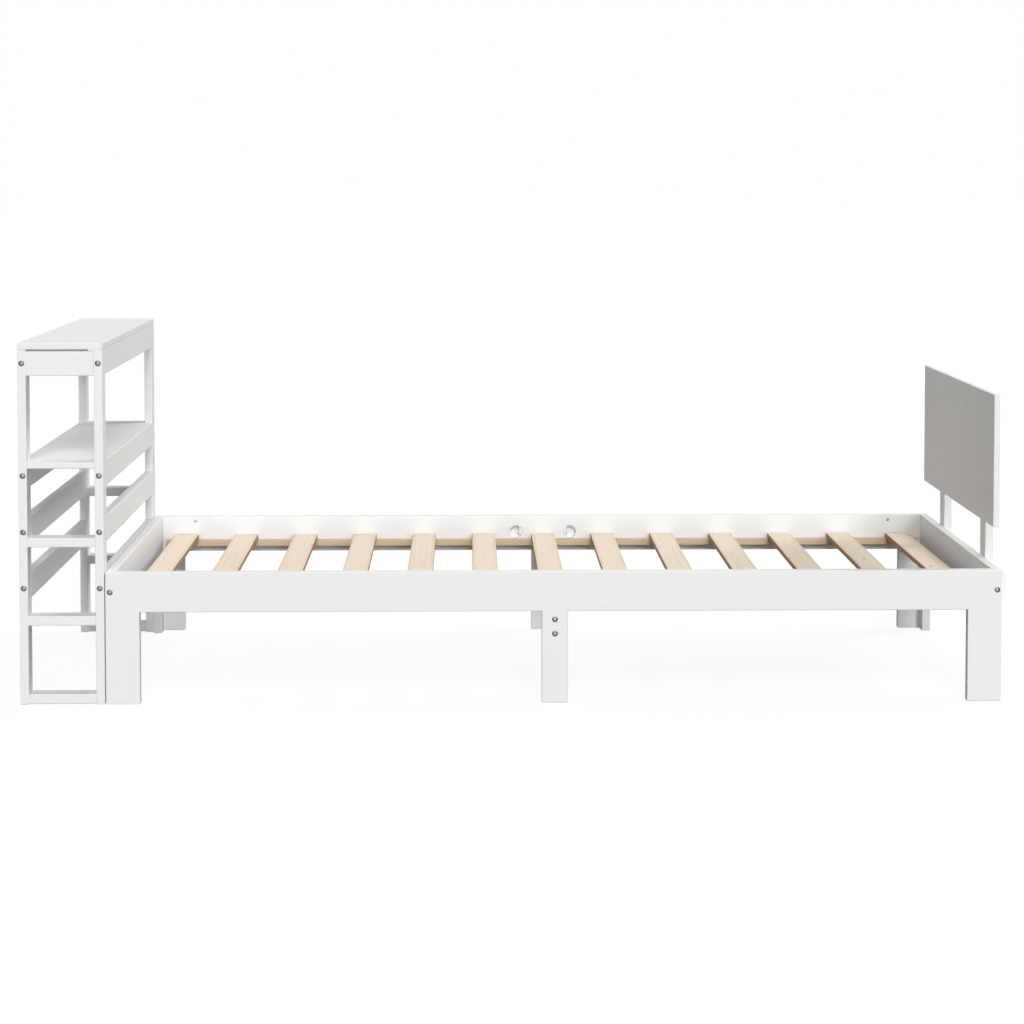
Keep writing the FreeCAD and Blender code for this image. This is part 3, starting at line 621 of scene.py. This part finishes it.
class BED_OT_fasteners(bpy.types.Operator):
    """Plate the nuts, studs and screws, and leave the dowels as beech"""

    bl_idname = "bed_frame.fasteners"
    bl_label = "Fasteners"

    def execute(self, context):
        finish = context.scene.bed_finish
        dress(zinc_steel("zinc_plated_steel", finish),
              "barrel_nuts", "rail_studs", "half_moon_nuts", "wood_screws")
        dress(beech_wood("beech", finish), "dowels")
        return {"FINISHED"}


def seen_ray(tree):
    """1 for rays that show the backdrop, straight or in a reflection, and 0 for rays that light."""
    path = node(tree, "ShaderNodeLightPath")
    mirrored = node(tree, "ShaderNodeMath",
                    {0: path.outputs["Is Glossy Ray"], 1: path.outputs["Is Transmission Ray"]},
                    operation="MAXIMUM")
    return node(tree, "ShaderNodeMath",
                {0: path.outputs["Is Camera Ray"], 1: mirrored.outputs[0]},
                operation="MAXIMUM").outputs[0]


def floor_paper(settings):
    """Matt white paper.

    The eye sees plain white with a trace of shadow; the paper throws back part of the light.
    """
    material, tree = new_material("matt_paper_floor")
    white = opaque(settings.backdrop)
    glow = node(tree, "ShaderNodeEmission", {"Color": white, "Strength": settings.floor_glow})
    lit = node(tree, "ShaderNodeBsdfDiffuse", {"Color": white})
    seen = node(tree, "ShaderNodeMixShader",
                {0: settings.floor_shadow, 1: glow.outputs[0], 2: lit.outputs[0]})
    bounce = node(tree, "ShaderNodeBsdfDiffuse", {"Color": opaque((settings.floor_bounce,) * 3)})
    both = node(tree, "ShaderNodeMixShader",
                {0: seen_ray(tree), 1: bounce.outputs[0], 2: seen.outputs[0]})
    node(tree, "ShaderNodeOutputMaterial", {"Surface": both.outputs[0]})
    return material


def white_room(settings):
    """World that is seen as plain white and lights evenly from all round."""
    world = bpy.data.worlds.new("white_room")
    world.use_nodes = True
    tree = world.node_tree
    tree.nodes.clear()
    white = opaque(settings.backdrop)
    light = node(tree, "ShaderNodeBackground",
                 {"Color": white, "Strength": settings.sky_strength})
    seen = node(tree, "ShaderNodeBackground", {"Color": white, "Strength": 1.0})
    both = node(tree, "ShaderNodeMixShader",
                {0: seen_ray(tree), 1: light.outputs[0], 2: seen.outputs[0]})
    node(tree, "ShaderNodeOutputWorld", {"Surface": both.outputs[0]})
    return world


def sheet_mesh(name, grid):
    """A mesh of quads over a grid of points, shaped rows by columns by three."""
    rows, columns = grid.shape[:2]
    corner = np.arange(rows * columns).reshape(rows, columns)
    quads = np.stack(
        [corner[:-1, :-1], corner[:-1, 1:], corner[1:, 1:], corner[1:, :-1]], axis=-1)
    mesh = bpy.data.meshes.new(name)
    mesh.from_pydata(grid.reshape(-1, 3).tolist(), [], quads.reshape(-1, 4).tolist())
    mesh.update()
    return mesh


def far_lamp(scene, name, azimuth, elevation, width, strength):
    """A far broad lamp, in degrees: azimuth 0 stands in front, 90 on the right and 180 behind."""
    lamp = bpy.data.lights.new(name, "SUN")
    lamp.energy = strength
    lamp.angle = math.radians(width)
    holder = bpy.data.objects.new(name, lamp)
    holder.rotation_euler = (math.radians(90 - elevation), 0, math.radians(azimuth))
    scene.collection.objects.link(holder)


class BED_OT_studio(bpy.types.Operator):
    """Lay the floor, light the room and set the camera"""

    bl_idname = "bed_frame.studio"
    bl_label = "Studio"

    def execute(self, context):
        scene = context.scene
        settings = scene.bed_stage
        edges = np.array([-FLOOR_REACH, FLOOR_REACH])
        across, along = np.meshgrid(edges, edges)
        floor = bpy.data.objects.new(
            "floor", sheet_mesh("floor", np.stack([across, along, 0 * across], axis=-1)))
        scene.collection.objects.link(floor)
        floor.data.materials.append(floor_paper(settings))

        scene.world = white_room(settings)
        for name, place in LAMPS.items():
            far_lamp(scene, f"{name}_light", *place, getattr(settings, f"{name}_strength"))

        camera = bpy.data.objects.new("camera", bpy.data.cameras.new("camera"))
        camera.location = settings.camera_place
        camera.rotation_euler = (math.pi / 2 - settings.camera_pitch, 0, -settings.camera_yaw)
        camera.data.sensor_width = SENSOR_WIDTH
        camera.data.lens = settings.camera_lens
        camera.data.shift_y = settings.camera_shift
        scene.collection.objects.link(camera)
        scene.camera = camera
        scene.view_settings.view_transform = "Standard"
        return {"FINISHED"}


class BED_PT_sidebar(bpy.types.Panel):
    """Lists the steps that dress the bed frame, and their settings"""

    bl_idname = "BED_PT_sidebar"
    bl_label = "Bed frame"
    bl_space_type = "VIEW_3D"
    bl_region_type = "UI"
    bl_category = "Bed frame"

    def draw(self, context):
        scene = context.scene
        for step in STEPS:
            self.layout.operator(step.bl_idname)
        for settings in (scene.bed_finish, scene.bed_bolts, scene.bed_stage):
            for name in settings.__annotations__:
                self.layout.prop(settings, name)


STEPS = (BED_OT_painted_boards, BED_OT_slats, BED_OT_bolts, BED_OT_fasteners, BED_OT_studio)
CLASSES = (BedFinish, BedBolts, BedStage, *STEPS, BED_PT_sidebar)


def register():
    """Makes the settings, steps and panel known to Blender."""
    for kind in CLASSES:
        bpy.utils.register_class(kind)
    bpy.types.Scene.bed_finish = bpy.props.PointerProperty(type=BedFinish)
    bpy.types.Scene.bed_bolts = bpy.props.PointerProperty(type=BedBolts)
    bpy.types.Scene.bed_stage = bpy.props.PointerProperty(type=BedStage)


def unregister():
    """Takes them away again."""
    del bpy.types.Scene.bed_stage
    del bpy.types.Scene.bed_bolts
    del bpy.types.Scene.bed_finish
    for kind in reversed(CLASSES):
        bpy.utils.unregister_class(kind)


def main():
    """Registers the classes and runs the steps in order."""
    register()
    bpy.ops.bed_frame.painted_boards()
    bpy.ops.bed_frame.slats()
    bpy.ops.bed_frame.bolts()
    bpy.ops.bed_frame.fasteners()
    bpy.ops.bed_frame.studio()


if __name__ == "__main__":
    main()
